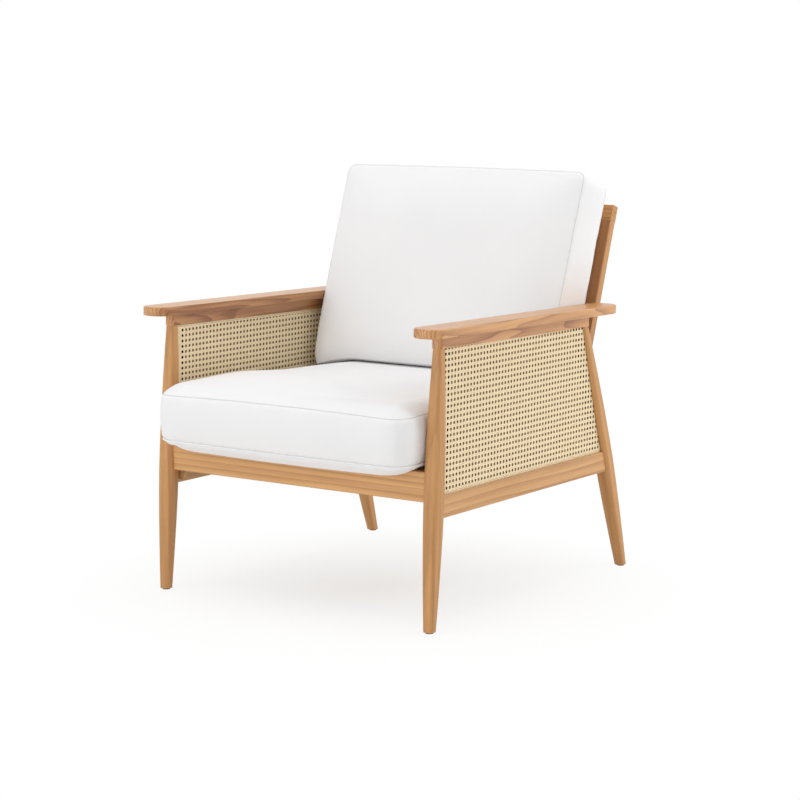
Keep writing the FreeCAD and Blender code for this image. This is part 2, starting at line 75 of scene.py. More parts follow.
# Leaning pieces
back_lean = math.radians(18.9)
back_leg_lean = math.radians(-17.5)
lean_up = Vector((0, math.sin(back_lean), math.cos(back_lean)))
lean_back = Vector((0, math.cos(back_lean), -math.sin(back_lean)))
back_leg_up = Vector((0, math.sin(back_leg_lean), math.cos(back_leg_lean)))
arm_grain = Vector((0.03, 1, 0.012))

# Wood: colours, growth rings and the fine fibre between them, and painted shade on some faces
honey_light = (0.70, 0.39, 0.155)
honey_dark = (0.34, 0.14, 0.043)
leg_light = (0.65, 0.335, 0.114)
leg_dark = (0.32, 0.13, 0.036)
upright_light = (0.58, 0.275, 0.083)
upright_dark = (0.28, 0.105, 0.026)
# how much painted shade darkens the uprights' forward faces
upright_painted_shade = 0.42
arm_light = (0.715, 0.368, 0.136)
arm_dark = (0.28, 0.102, 0.03)
# how much painted shade darkens the armrests' faces towards the seat
arm_painted_shade = 0.42
cross_light = (0.75, 0.415, 0.162)
cross_dark = (0.37, 0.152, 0.046)
inner_light = (0.62, 0.40, 0.20)
inner_dark = (0.42, 0.22, 0.09)
ring_stretch = 0.09
ring_wander = 11
ring_sharpness = 2.2
ring_relief = 0.4
cloud_scale = 26
streak_scale = 130
fibre_scale = 620
fibre_stretch = 0.022
streak_share = 0.75
cloud_share = 0.5
fibre_share = 0.35
plain_shade = 0.47
figure_shade = 0.3
grain_relief = 0.3 * mm
grain_strength = 0.12
coat_rough = 0.3

# How the pieces were sawn, and where the pith of the tree lies beside each, across its grain
plain_cut = {"ring": 9 * mm, "sway": 0.05, "figure": 0.5, "rough": 0.42, "coat": 0.08}
straight_cut = {"ring": 13 * mm, "sway": 0.02, "figure": 0.18}
arm_cut = {"ring": 8 * mm, "sway": 0.1, "figure": 0.6, "rough": 0.36, "coat": 0.3}
inner_cut = {"rough": 0.5}
piths = {
    "front_leg": (0.21, 0.14, 0), "back_leg": (0.23, 0.12, 0), "upright": (0.19, 0.16, 0),
    "crest": (0.05, 0.04, 0), "rail": (0.02, -0.1, 0), "cross": (0.06, 0.03, 0),
    "slat": (0.02, 0.08, 0), "bearer": (0.05, 0.05, 0),
}
seat_slats = 6

# Noise shared by several finishes
noise_middle = (0.5, 0.5, 0.5)
grit_rough = 0.6
gritty = {"detail": 3, "rough": grit_rough}
rough_spread = 0.2

# Cane weave
cane_pitch = 11.4 * mm
strand_width = 2.6 * mm
strand_thickness = 0.4 * mm
strand_bevel = 0.35 * mm
pair_gap = 0.3 * mm
diagonal_width = 1.9 * mm
weave_lift = 0.2 * mm
diagonal_lift = 0.35 * mm
first_column = 11.5 * mm
first_row = 16.4 * mm
foot_hem = first_row - cane_pitch / 2
front_hem = {"outer": first_column - cane_pitch / 2, "inner": first_column + cane_pitch / 2}
head_hem = {"outer": 0.0, "inner": 12.1 * mm}
hem_run_on = 15 * mm
spare_cells = 2
cell_join = 0.02 * mm
most_cut_sides = 8
corner_digits = 5
cane_light = (0.97, 0.83, 0.565)
cane_dark = (0.82, 0.65, 0.41)
mottle_scale = 120
fleck_scale = 900
mottle_share = 1.3
fleck_share = 0.5
cane_pale = 0.4
cane_relief = 0.1 * mm
cane_strength = 0.1
cane_rough = 0.38

# Board behind the cane, with painted shade beside the front leg and in a band near the back leg
board_light = (0.24, 0.15, 0.066)
board_dark = (0.16, 0.095, 0.04)
# colour of the painted shade on the board
board_painted_shade = (0.006, 0.003, 0.0015)
board_scale = 240
board_rough = 0.7
front_painted_shade = 28 * mm
front_fade = 4 * mm
band_start = 14 * mm
band_end = 47 * mm
band_fade = 6 * mm

# Screws, bolts and foot glides
steel_light = (0.62, 0.62, 0.63)
steel_dark = (0.46, 0.46, 0.48)
steel_scale = 1400
steel_rough = 0.25
glide_light = (0.20, 0.11, 0.045)
glide_dark = (0.13, 0.07, 0.03)
glide_scale = 700
glide_rough = 0.4

# Cushion covers: the filling, the sewn edges, the faces at rest and the cloth.
# A welt has a radius and the share of it that is sunk, below 0 where it stands out.
cover_voxel = 7 * mm
cover_pressure = 40
cover_frames = 10
cover_mass = 0.01
cover_quality = 6
cover_stretch = 15
cover_shear = 5
cover_bend = 0.8
same_point = 0.002 * mm
seam_angle = math.radians(28)
shortest_seam = 12
seam_hold_reach = 9 * mm
seam_groove = 2.4 * mm
seam_groove_reach = 5 * mm
pucker_depth = 1.2 * mm
pucker_reach = 34 * mm
pucker_length = 26 * mm
fine_welt = (1.2 * mm, 0.3)
bold_welt = (2.1 * mm, -0.95)
welt_step = 4 * mm
welt_sides = 10
rest_band = 4 * mm
rest_edge = 0.1 * mm
slat_ease = 18 * mm
rest_gap = 0.8 * mm
cloth_thread = 0.9 * mm
cotton_light = (0.90, 0.90, 0.905)
cotton_dark = (0.84, 0.84, 0.85)
# Grey cloth of the fine welts: partly thread colour, partly painted shade of the seam line
seam_light = (0.74, 0.74, 0.745)
seam_dark = (0.66, 0.66, 0.67)
slub_scale = 320
fade_scale = 9
slub_share = 0.4
fade_share = 0.6
thread_relief = 0.5
cloth_relief = 0.25 * mm
cloth_strength = 0.16
cotton_rough = 0.8
cotton_rough_spread = 0.1
cotton_shine = 0.2
cotton_sheen = 0.15
cotton_sheen_rough = 0.5

# Seat cushion: swollen at the front, pressed down towards the back cushion.
# A cushion's foot is tucked in by a depth that falls away over a reach.
seat_low, seat_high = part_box("seat_cushion")
deck_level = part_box("seat_slat_1")[1].z
seat_clear = deck_level + 2 * mm
seat_fullness = 3 * mm
seat_cap = 4.5 * mm
seat_widen = 1.012
seat_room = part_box("front_leg_right")[0].x - 1.5 * mm
seat_foot = (2 * mm, 9 * mm)
swell_front = seat_low.y + 213 * mm
swell_rear = seat_low.y + 353 * mm
crown_level = seat_high.z - 3.5 * mm
crown_fill = 0.85
crown_ease = 28 * mm
low_seam = seat_low.z + 21 * mm
high_seam = seat_high.z - 25 * mm
low_corner_lift = 5 * mm
high_corner_lift = 7 * mm
high_middle_drop = 4.5 * mm
rear_side_drop = 7 * mm
rear_side_from = 190 * mm
lip_drop = 4 * mm
lip_reach = 30 * mm
lip_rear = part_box("front_rail")[0].y

# Back cushion: held between the armrests, its foot sagging on to the seat
back_low, back_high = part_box("back_cushion")
back_clear = back_low.z + 7 * mm
back_fullness = 3 * mm
back_cap = 3.5 * mm
back_foot = (11 * mm, 18 * mm)
arm_low, arm_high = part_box("armrest_right")
arm_room = arm_low.x - 1.5 * mm
arm_bulge = 13 * mm
bulge_height = 150 * mm
back_widen = 1.01
sag_reach = 90 * mm
sag_most = 20 * mm
seat_edge = 12 * mm
foot_facing = -0.9

# Camera, as the photograph was taken
camera_place = Vector((2.8456, -4.0561, 1.125))
camera_view = Vector((-0.56588, 0.81116, -0.14763))
camera_lens = 106.425
camera_sensor = 36.0

# Studio
plain_white = (1, 1, 1, 1)
sky_strength = 0.52
floor_size = 14
floor_matt = (0.93, 0.92, 0.905, 1)
floor_glow = 0.62
shadow_middle = (0.03, -0.10, 0)
shadow_reach = 0.68
lamp_target = Vector((0, 0, 0.4))
lamps = {
    "right": {"place": Vector((3.4, 2.2, 1.9)), "size": 2.5, "power": 67},
    "front": {"place": Vector((-0.9, -3.0, 1.2)), "size": 2.4, "power": 23},
    "top": {"place": Vector((0.0, -0.8, 4.2)), "size": 3.0, "power": 67},
}


class Wire:
    """A socket of a node tree. Arithmetic on it adds Math nodes, and add() makes any other node."""

    def __init__(self, tree, socket=None):
        self.tree = tree
        self.socket = socket

    def add(self, kind, inputs=None, out=0, **settings):
        node = self.tree.nodes.new(kind)
        for name, value in settings.items():
            setattr(node, name, value)
        for name, value in (inputs or {}).items():
            if isinstance(value, Wire):
                self.tree.links.new(value.socket, node.inputs[name])
            else:
                node.inputs[name].default_value = value
        return Wire(self.tree, node.outputs[out] if node.outputs else None)

    def out(self, name):
        """Another output of the same node."""
        return Wire(self.tree, self.socket.node.outputs[name])

    def math(self, operation, *values):
        return self.add("ShaderNodeMath", dict(enumerate(values)), operation=operation)

    def vector(self, operation, *values, out=0):
        return self.add("ShaderNodeVectorMath", dict(enumerate(values)), out=out, operation=operation)

    def held(self):
        """The value kept between 0 and 1."""
        return self.math("MINIMUM", self.math("MAXIMUM", self, 0), 1)

    def __add__(self, other):
        return self.math("ADD", self, other)

    __radd__ = __add__

    def __sub__(self, other):
        return self.math("SUBTRACT", self, other)

    def __rsub__(self, other):
        return self.math("SUBTRACT", other, self)

    def __mul__(self, other):
        return self.math("MULTIPLY", self, other)

    __rmul__ = __mul__

    def __truediv__(self, other):
        return self.math("DIVIDE", self, other)

    def __rtruediv__(self, other):
        return self.math("DIVIDE", other, self)

    def __pow__(self, other):
        return self.math("POWER", self, other)

    def __rpow__(self, other):
        return self.math("POWER", other, self)


def new_material(name):
    """An empty material, with its tree as a Wire."""
    material = bpy.data.materials.new(name)
    material.use_nodes = True
    material.node_tree.nodes.clear()
    return material, Wire(material.node_tree)


def finish_surface(tree, inputs):
    """Close a material with a Principled shader."""
    shader = tree.add("ShaderNodeBsdfPrincipled", inputs)
    tree.add("ShaderNodeOutputMaterial", {"Surface": shader})


def object_place(tree):
    return tree.add("ShaderNodeTexCoord", out="Object")


def mixed(tree, share, first, second):
    """Two colours mixed by a share."""
    colours = [value if isinstance(value, Wire) else (*value, 1) for value in (first, second)]
    inputs = {"Factor": share, mix_first: colours[0], mix_second: colours[1]}
    return tree.add("ShaderNodeMix", inputs, out=mix_result, data_type="RGBA")


def noise(tree, place, scale, detail=2.0, rough=0.5):
    return tree.add("ShaderNodeTexNoise", {"Vector": place, "Scale": scale, "Detail": detail,
                                           "Roughness": rough})


def surface_normal(tree):
    return tree.add("ShaderNodeTexCoord", out="Normal")


def forward_faces_painted_shade(tree):
    """Painted shade on the faces of the leaning back that look forward, where the back cushion shades
    them.
    """
    return tree.vector("DOT_PRODUCT", surface_normal(tree), -lean_back, out=1).held() * upright_painted_shade


def seat_faces_painted_shade(tree):
    """Painted shade on the faces that look towards the seat from either side, where the cushions and the
    other arm shade them.
    """
    place = tree.add("ShaderNodeSeparateXYZ", {0: object_place(tree)})
    look = tree.add("ShaderNodeSeparateXYZ", {0: surface_normal(tree)})
    return (place.out("X") * look.out("X") / -arm_low.x).held() * arm_painted_shade


def wood(name, along, pith, light, dark, painted_shade=None, **changes):
    """Wood with rings along a direction, round a pith beside the piece, plainly cut but for changes.

    The cut's sway makes the rings wander. A painted shade, where given, darkens the faces that it picks,
    for the shade that falls on them.
    """
    cut = {**plain_cut, **changes}
    material, tree = new_material(name)
    turn = along.to_track_quat("Z", "Y").inverted().to_euler()
    grain = tree.add("ShaderNodeMapping", {"Vector": object_place(tree), "Rotation": turn,
                                           "Location": pith})
    slow = tree.vector("MULTIPLY", grain, (1, 1, ring_stretch))
    wander = tree.vector("SUBTRACT", noise(tree, slow, ring_wander), noise_middle)
    swayed = tree.vector("MULTIPLY_ADD", wander, (cut["sway"], cut["sway"], 0), slow)
    radius = tree.vector("LENGTH", tree.vector("MULTIPLY", swayed, (1, 1, 0)), out=1)
    late = tree.math("FRACT", radius / cut["ring"]) ** ring_sharpness
    fine = tree.vector("MULTIPLY", grain, (1, 1, fibre_stretch))
    fibre = noise(tree, fine, fibre_scale, **gritty)
    streak = noise(tree, fine, streak_scale)
    cloud = noise(tree, slow, cloud_scale)
    bright = plain_shade + figure_shade * cut["figure"]
    shade = (late * cut["figure"] + streak * streak_share + cloud * cloud_share
             + fibre * fibre_share - bright)
    if painted_shade:
        # painted shade on the faces that the given rule picks
        shade = shade + painted_shade(tree)
    relief = tree.add("ShaderNodeBump", {"Height": fibre + late * ring_relief, "Strength": grain_strength,
                                         "Distance": grain_relief})
    finish_surface(tree, {"Base Color": mixed(tree, shade.held(), light, dark),
                          "Roughness": fibre * rough_spread + (cut["rough"] - rough_spread / 2),
                          "Normal": relief, "Coat Weight": cut["coat"], "Coat Roughness": coat_rough})
    return material


def cane():
    """Split cane: pale straw with darker fibres and a soft shine."""
    material, tree = new_material("split_cane")
    place = object_place(tree)
    mottle = noise(tree, place, mottle_scale, **gritty)
    fleck = noise(tree, place, fleck_scale)
    tone = (mottle * mottle_share + fleck * fleck_share - cane_pale).held()
    relief = tree.add("ShaderNodeBump", {"Height": fleck, "Strength": cane_strength,
                                         "Distance": cane_relief})
    finish_surface(tree, {"Base Color": mixed(tree, tone, cane_light, cane_dark),
                          "Roughness": fleck * rough_spread + cane_rough, "Normal": relief})
    return material


def core_board(corners):
    """Brown stained board behind the cane, with painted shade beside the front leg and in a band near the
    back leg.
    """
    material, tree = new_material("core_board_stain_and_painted_shade")
    place = object_place(tree)
    parts = tree.add("ShaderNodeSeparateXYZ", {0: place})
    front_low, front_high, rear_low, rear_high = corners

    def behind(low, high):
        """How far a place lies behind the panel edge through two corners."""
        slope = (high.y - low.y) / (high.z - low.z)
        return parts.out("Y") - (parts.out("Z") * slope + (low.y - low.z * slope))

    # painted shade: dark beside the front leg and in a band near the back leg
    from_front = (behind(front_low, front_high) - front_painted_shade) / front_fade
    from_rear = behind(rear_low, rear_high) * -1
    band = tree.math("MINIMUM", from_rear - band_start, band_end - from_rear) / band_fade
    lit = tree.math("MINIMUM", from_front, 1 - band.held()).held()
    fibre = noise(tree, place, board_scale, **gritty)
    brown = mixed(tree, fibre, board_light, board_dark)
    finish_surface(tree, {"Base Color": mixed(tree, lit, board_painted_shade, brown),
                          "Roughness": fibre * rough_spread + board_rough, "Specular IOR Level": 0.0})
    return material


def cotton(name, light, dark):
    """Cotton in a fine plain weave, with slubs."""
    material, tree = new_material(name)
    place = tree.add("ShaderNodeUVMap", uv_map="cloth")
    parts = tree.add("ShaderNodeSeparateXYZ", {0: place})
    turn = 2 * math.pi / cloth_thread
    warp = tree.math("SINE", parts.out("X") * turn)
    weft = tree.math("SINE", parts.out("Y") * turn)
    slub = noise(tree, place, slub_scale, **gritty)
    fade = noise(tree, place, fade_scale)
    relief = tree.add("ShaderNodeBump", {"Height": warp * weft * thread_relief + slub,
                                         "Strength": cloth_strength, "Distance": cloth_relief})
    tone = fade * fade_share + slub * slub_share
    finish_surface(tree, {"Base Color": mixed(tree, tone, light, dark),
                          "Roughness": slub * cotton_rough_spread + cotton_rough, "Normal": relief,
                          "Specular IOR Level": cotton_shine, "Sheen Weight": cotton_sheen,
                          "Sheen Roughness": cotton_sheen_rough})
    return material


def steel():
    """Zinc-plated steel with a faint turned pattern."""
    material, tree = new_material("zinc_steel")
    brush = noise(tree, object_place(tree), steel_scale, rough=grit_rough)
    colour = mixed(tree, brush, steel_light, steel_dark)
    finish_surface(tree, {"Base Color": colour, "Metallic": 1.0,
                          "Roughness": brush * rough_spread + steel_rough})
    return material


def glide():
    """Brown nylon of the foot glides."""
    material, tree = new_material("nylon_glide")
    grit = noise(tree, object_place(tree), glide_scale, rough=grit_rough)
    colour = mixed(tree, grit, glide_light, glide_dark)
    finish_surface(tree, {"Base Color": colour, "Roughness": grit * rough_spread + glide_rough})
    return material


def node_object(name):
    return bpy.data.objects[name]


def panel_corners(side):
    """Corners of a panel's core in its own plane: front low, front high, rear low, rear high."""
    core = node_object("panel_core_" + side).data
    points = sorted({(round(vert.co.y, corner_digits), round(vert.co.z, corner_digits))
                     for vert in core.vertices})
    front = sorted(points[:2], key=lambda point: point[1])
    rear = sorted(points[2:], key=lambda point: point[1])
    return [Vector((0, y, z)) for y, z in front + rear]


def dress_frame():
    """Give every node of the frame its finish, with the grain along the pieces it is for."""
    front_leg = wood("front_leg_wood", upward, piths["front_leg"], leg_light, leg_dark, **straight_cut)
    back_leg = wood("back_leg_wood", back_leg_up, piths["back_leg"], leg_light, leg_dark, **straight_cut)
    # the uprights' forward faces carry painted shade
    upright = wood("upright_wood", lean_up, piths["upright"], upright_light, upright_dark,
                   painted_shade=forward_faces_painted_shade, **straight_cut)
    crest = wood("crest_rail_wood", across, piths["crest"], upright_light, upright_dark)
    rail = wood("side_rail_wood", deep, piths["rail"], honey_light, honey_dark)
    # the armrests' faces towards the seat carry painted shade
    arm = wood("armrest_wood", arm_grain, (0, -arm_low.z, 0), arm_light, arm_dark,
               painted_shade=seat_faces_painted_shade, **arm_cut)
    cross = wood("cross_rail_wood", across, piths["cross"], cross_light, cross_dark)
    slat = wood("slat_wood", across, piths["slat"], inner_light, inner_dark, **inner_cut)
    bearer = wood("bearer_wood", deep, piths["bearer"], inner_light, inner_dark, **inner_cut)
    metal = steel()
    finishes = {
        "back_spacers": slat, "leg_top_dowels": slat, "armrest_dowels": slat,
        "slat_screws": metal, "corner_block_screws": metal, "upright_bolts": metal,
        "crest_rail": crest, "foot_glides": glide(),
    }
    board = core_board(panel_corners("right"))
    for side in sides:
        finishes.update({
            "front_leg_" + side: front_leg, "back_leg_" + side: back_leg, "back_upright_" + side: upright,
            "side_rail_" + side: rail, "arm_rail_" + side: arm, "armrest_" + side: arm,
            "seat_bearer_" + side: bearer, "corner_block_" + side: slat, "panel_core_" + side: board,
        })
    for name in ("rear_seat_rail", "front_rail", "back_slat_1", "back_slat_2", "back_slat_3"):
        finishes[name] = cross
    for number in range(1, seat_slats + 1):
        finishes["seat_slat_%d" % number] = slat
    for name, finish in finishes.items():
        node_object(name).material_slots[0].material = finish


def plain_mesh(obj, name):
    """Turn an evaluated object into a plain mesh object at the origin, and drop the first one."""
    graph = bpy.context.evaluated_depsgraph_get()
    mesh = bpy.data.meshes.new_from_object(obj.evaluated_get(graph))
    mesh.name = name
    bpy.data.objects.remove(obj)
    piece = bpy.data.objects.new(name, mesh)
    bpy.context.collection.objects.link(piece)
    return piece


def node_group(name, sizes):
    """An empty Geometry Nodes tree with named inputs, as a Wire with its group input."""
    group = bpy.data.node_groups.new(name, "GeometryNodeTree")
    group.interface.new_socket("Geometry", in_out="INPUT", socket_type="NodeSocketGeometry")
    group.interface.new_socket("Geometry", in_out="OUTPUT", socket_type="NodeSocketGeometry")
    for label, kind in sizes.items():
        group.interface.new_socket(label, in_out="INPUT", socket_type="NodeSocket" + kind)
    tree = Wire(group)
    start = tree.add("NodeGroupInput")
    inputs = {socket.name: Wire(group, socket) for socket in start.socket.node.outputs if socket.name}
    return group, tree, inputs


def run_group(obj, group, values):
    """Run a tree on an object with its inputs set by their identifiers."""
    modifier = obj.modifiers.new(group.name, "NODES")
    modifier.node_group = group
    for item in group.interface.items_tree:
        if item.in_out == "INPUT" and item.name in values:
            modifier[item.identifier] = values[item.name]


def weave_group():
    """Cells of woven cane laid in columns and rows, then stood up on a panel."""
    group, tree, given = node_group("cane_weave", {"Cell": "Object", "Columns": "Int", "Rows": "Int",
                                                  "Width": "Float", "Height": "Float", "Lean": "Float",
                                                  "Place": "Vector", "Turn": "Rotation",
                                                  "Finish": "Material"})
    grid = tree.add("GeometryNodeMeshGrid", {"Size X": given["Width"], "Size Y": given["Height"],
                                             "Vertices X": given["Columns"], "Vertices Y": given["Rows"]})
    cell = tree.add("GeometryNodeObjectInfo", {"Object": given["Cell"]}, out="Geometry")
    laid = tree.add("GeometryNodeInstanceOnPoints", {"Points": grid, "Instance": cell})
    whole = tree.add("GeometryNodeRealizeInstances", {"Geometry": laid})
    joined = tree.add("GeometryNodeMergeByDistance", {"Geometry": whole, "Distance": cell_join})
    level = tree.add("ShaderNodeSeparateXYZ", {0: tree.add("GeometryNodeInputPosition")}, out="Y")
    aside = tree.add("ShaderNodeCombineXYZ", {"X": level * given["Lean"]})
    leant = tree.add("GeometryNodeSetPosition", {"Geometry": joined, "Offset": aside})
    stood = tree.add("GeometryNodeTransform", {"Geometry": leant, "Translation": given["Place"],
                                               "Rotation": given["Turn"]})
    done = tree.add("GeometryNodeSetMaterial", {"Geometry": stood, "Material": given["Finish"]})
    tree.add("NodeGroupOutput", {"Geometry": done})
    return group


def strand(bm, path, width):
    """A flat strand along a path, with its edges eased, closed round and open at both ends."""
    run = path[-1] - path[0]
    side = Vector((-run.y, run.x, 0)).normalized() * width / 2
    eased = side * (1 - 2 * strand_bevel / width)
    top = Vector((0, 0, strand_thickness))
    rings = []
    for centre in path:
        corners = (centre - side, centre - eased + top, centre + eased + top, centre + side)
        rings.append([bm.verts.new(corner) for corner in corners])
    for first, second in zip(rings, rings[1:]):
        for index in range(len(first)):
            after = (index + 1) % len(first)
            bm.faces.new((first[after], first[index], second[index], second[after]))


def cane_cell():
    """One hole of the weave with the strands round it: two upright, two level and four slanted runs."""
    bm = bmesh.new()
    half = cane_pitch / 2
    offset = half - (strand_width + pair_gap) / 2
    for sign in (-1, 1):
        upright = ((-half, 0), (-offset, -sign), (offset, sign), (half, 0))
        strand(bm, [Vector((sign * offset, v, weave_lift * w)) for v, w in upright], strand_width)
        strand(bm, [Vector((u, sign * offset, weave_lift * -w)) for u, w in upright], strand_width)
        for turn in (-1, 1):
            over = diagonal_lift * sign * turn
            ends = (Vector((sign * half, 0, over)), Vector((0, turn * half, -over)))
            strand(bm, ends, diagonal_width)
    bmesh.ops.recalc_face_normals(bm, faces=bm.faces)
    mesh = bpy.data.meshes.new("cane_cell")
    bm.to_mesh(mesh)
    bm.free()
    return bpy.data.objects.new("cane_cell", mesh)


def hemmed_field(corners, front, head):
    """Corners of the open weave inside a panel's plain foot, front and head hems."""
    front_low, front_high, rear_low, rear_high = corners
    tall = front_high - front_low
    slant = rear_high - rear_low
    return [front_low + tall * (foot_hem / tall.z) + deep * front,
            front_high - tall * (head / tall.z) + deep * front,
            rear_low + slant * (foot_hem / slant.z),
            rear_high - slant * (head / slant.z)]


def add_hems(bm, corners, field, front, head, depth, outward):
    """Plain strands of cane side by side between a panel's edges and its open weave."""
    front_low, front_high, rear_low, rear_high = corners
    run_on = deep * hem_run_on
    edges = [(front_low - run_on, rear_low + run_on, upward, foot_hem),
             (field[0] - deep * front, field[1] - deep * front, deep, front),
             (front_high - run_on, rear_high + run_on, downward, head)]
    strips = bmesh.new()
    for first, second, inward, height in edges:
        count = round(height / (strand_width + pair_gap))
        for number in range(count):
            shift = inward * height * (number + 0.5) / count
            path = [Vector((outward * end.y, end.z, 0)) for end in (first + shift, second + shift)]
            strand(strips, path, height / count - pair_gap)
    bmesh.ops.recalc_face_normals(strips, faces=strips.faces)
    strips.transform(Matrix(((0, 0, outward, depth), (outward, 0, 0, 0), (0, 1, 0, 0), (0, 0, 0, 1))))
    mesh = bpy.data.meshes.new("cane_hems")
    strips.to_mesh(mesh)
    strips.free()
    bm.from_mesh(mesh)
    bpy.data.meshes.remove(mesh)


def trimmed(bm, corners):
    """Cut a standing weave to four corners, with the cut ends closed."""
    front_low, front_high, rear_low, rear_high = corners
    outline = (front_low, front_high, rear_high, rear_low)
    middle = sum(outline, Vector()) / len(outline)
    for first, second in zip(outline, outline[1:] + outline[:1]):
        run = second - first
        outward = Vector((0, run.z, -run.y)).normalized()
        if outward.dot(first - middle) < 0:
            outward.negate()
        cut = bmesh.ops.bisect_plane(bm, geom=bm.verts[:] + bm.edges[:] + bm.faces[:], plane_co=first,
                                     plane_no=outward, clear_outer=True)
        edges = [part for part in cut["geom_cut"] if isinstance(part, bmesh.types.BMEdge)]
        bmesh.ops.holes_fill(bm, edges=edges, sides=most_cut_sides)


def cane_sheets():
    """The woven cane on both faces of both side panels, its columns in line with the front legs."""
    group = weave_group()
    cell = cane_cell()
    finish = cane()
    for side in sides:
        corners = panel_corners(side)
        front_low, front_high, rear_low, rear_high = corners
        lean = (front_high.y - front_low.y) / (front_high.z - front_low.z)
        columns = math.ceil((rear_low.y - front_low.y) / cane_pitch) + 1
        rows = math.ceil((rear_high.z - front_low.z) / cane_pitch) + 1
        width = (columns - 1) * cane_pitch
        height = (rows - 1) * cane_pitch
        spare = spare_cells * cane_pitch
        middle_z = front_low.z + first_row - spare + height / 2
        middle_y = front_low.y + first_column - spare + width / 2 + lean * (middle_z - front_low.z)
        for face in ("outer", "inner"):
            node = "cane_%s_%s" % (face, side)
            low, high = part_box(node)
            outward = 1 if (side == "right") == (face == "outer") else -1
            depth = (low.x + high.x) / 2 - outward * strand_thickness / 2
            blank = bpy.data.objects.new(node + "_blank", bpy.data.meshes.new(node + "_blank"))
            bpy.context.collection.objects.link(blank)
            run_group(blank, group, {"Cell": cell, "Columns": columns, "Rows": rows, "Width": width,
                                     "Height": height, "Lean": lean * outward,
                                     "Place": Vector((depth, middle_y, middle_z)),
                                     "Turn": (math.pi / 2, 0, outward * math.pi / 2), "Finish": finish})
            sheet = plain_mesh(blank, node + "_weave")
            hems = (front_hem[face], head_hem[face])
            field = hemmed_field(corners, *hems)
            bm = bmesh.new()
            bm.from_mesh(sheet.data)
            trimmed(bm, field)
            add_hems(bm, corners, field, *hems, depth, outward)
            trimmed(bm, corners)
            for strip in bm.faces:
                strip.material_index = 0
            bm.to_mesh(sheet.data)
            bm.free()
            sheet.data.materials.clear()
            sheet.data.materials.append(finish)
            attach(sheet, "frame")
            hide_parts(node)
    bpy.data.objects.remove(cell)


def welded(mesh):
    """A mesh to edit, with the points that its faces share made one."""
    bm = bmesh.new()
    bm.from_mesh(mesh)
    bmesh.ops.remove_doubles(bm, verts=bm.verts, dist=same_point)
    return bm


def crease_edges(bm):
    return [edge for edge in bm.edges
            if len(edge.link_faces) == 2 and edge.calc_face_angle() > seam_angle]


def crease_lines(mesh, clear_z):
    """Sewn edges of a cushion's solid from the lowest up, each a line of points and whether it closes."""
    bm = welded(mesh)
    left = {edge for edge in crease_edges(bm) if min(vert.co.z for vert in edge.verts) > clear_z}
    lines = []
    while left:
        ends = [vert for edge in left for vert in edge.verts
                if sum(other in left for other in vert.link_edges) == 1]
        if ends:
            start = min(ends, key=lambda vert: vert.index)
        else:
            start = min(left, key=lambda edge: edge.index).verts[0]
        line = [start]
        while True:
            onward = [edge for edge in line[-1].link_edges if edge in left]
            if not onward:
                break
            edge = min(onward, key=lambda onward_edge: onward_edge.index)
            left.discard(edge)
            line.append(edge.other_vert(line[-1]))
        closed = line[0] == line[-1]
        points = [vert.co.copy() for vert in (line[:-1] if closed else line)]
        if len(points) > shortest_seam:
            lines.append((dense(points, closed, welt_step), closed))
    bm.free()
    return sorted(lines, key=lambda line: sum(point.z for point in line[0]) / len(line[0]))


def dense(points, closed, step):
    """Points no further apart than a step along a line."""
    result = []
    following = points[1:] + points[:1] if closed else points[1:]
    for first, second in zip(points, following):
        count = max(1, math.ceil((second - first).length / step))
        for number in range(count):
            result.append(first.lerp(second, number / count))
    if not closed:
        result.append(points[-1])
    return result


def foot_points(mesh, clear_z):
    """Points along the edges on which a cushion's solid stands, at or below a height."""
    bm = welded(mesh)
    points = []
    for edge in crease_edges(bm):
        ends = [vert.co.copy() for vert in edge.verts]
        if max(end.z for end in ends) <= clear_z:
            points.extend(dense(ends, False, welt_step))
    bm.free()
    return points


def point_tree(points):
    tree = KDTree(len(points))
    for index, point in enumerate(points):
        tree.insert(point, index)
    tree.balance()
    return tree


def remeshed(name, mesh):
    """An even closed shell over a cushion's solid."""
    bm = welded(mesh)
    copy = bpy.data.meshes.new(name)
    bm.to_mesh(copy)
    bm.free()
    shell = bpy.data.objects.new(name + "_blank", copy)
    bpy.context.collection.objects.link(shell)
    remesh = shell.modifiers.new("even", "REMESH")
    remesh.mode = "VOXEL"
    remesh.voxel_size = cover_voxel
    remesh.use_smooth_shade = True
    return plain_mesh(shell, name)


def place_points(mesh, places):
    mesh.vertices.foreach_set("co", [number for place in places for number in place])
    mesh.update()


def reshape(mesh, rule):
    """Move each point of a mesh to where a rule sends it, from its place and its normal."""
    place_points(mesh, [rule(vert.co, vert.normal) for vert in mesh.vertices])


def blown_up(shell, holds, caps):
    """Fill a cover with Cloth pressure, each point kept within its own cap of where it began."""
    mesh = shell.data
    group = shell.vertex_groups.new(name="held")
    for index, hold in enumerate(holds):
        group.add([index], hold, "REPLACE")
    cloth = shell.modifiers.new("filling", "CLOTH")
    settings = cloth.settings
    settings.quality = cover_quality
    settings.mass = cover_mass
    settings.tension_stiffness = cover_stretch
    settings.compression_stiffness = cover_stretch
    settings.shear_stiffness = cover_shear
    settings.bending_stiffness = cover_bend
    settings.use_pressure = True
    settings.uniform_pressure_force = cover_pressure
    settings.vertex_group_mass = group.name
    settings.effector_weights.gravity = 0
    cloth.collision_settings.use_collision = False
    scene = bpy.context.scene
    for number in range(1, cover_frames + 1):
        scene.frame_set(number)
    filled = shell.evaluated_get(bpy.context.evaluated_depsgraph_get()).data
    places = []
    for vert, after, cap in zip(mesh.vertices, filled.vertices, caps):
        move = after.co - vert.co
        places.append(vert.co + move * min(1.0, cap / max(move.length, same_point)))
    shell.modifiers.remove(cloth)
    shell.vertex_groups.remove(group)
    place_points(mesh, places)
    scene.frame_set(1)


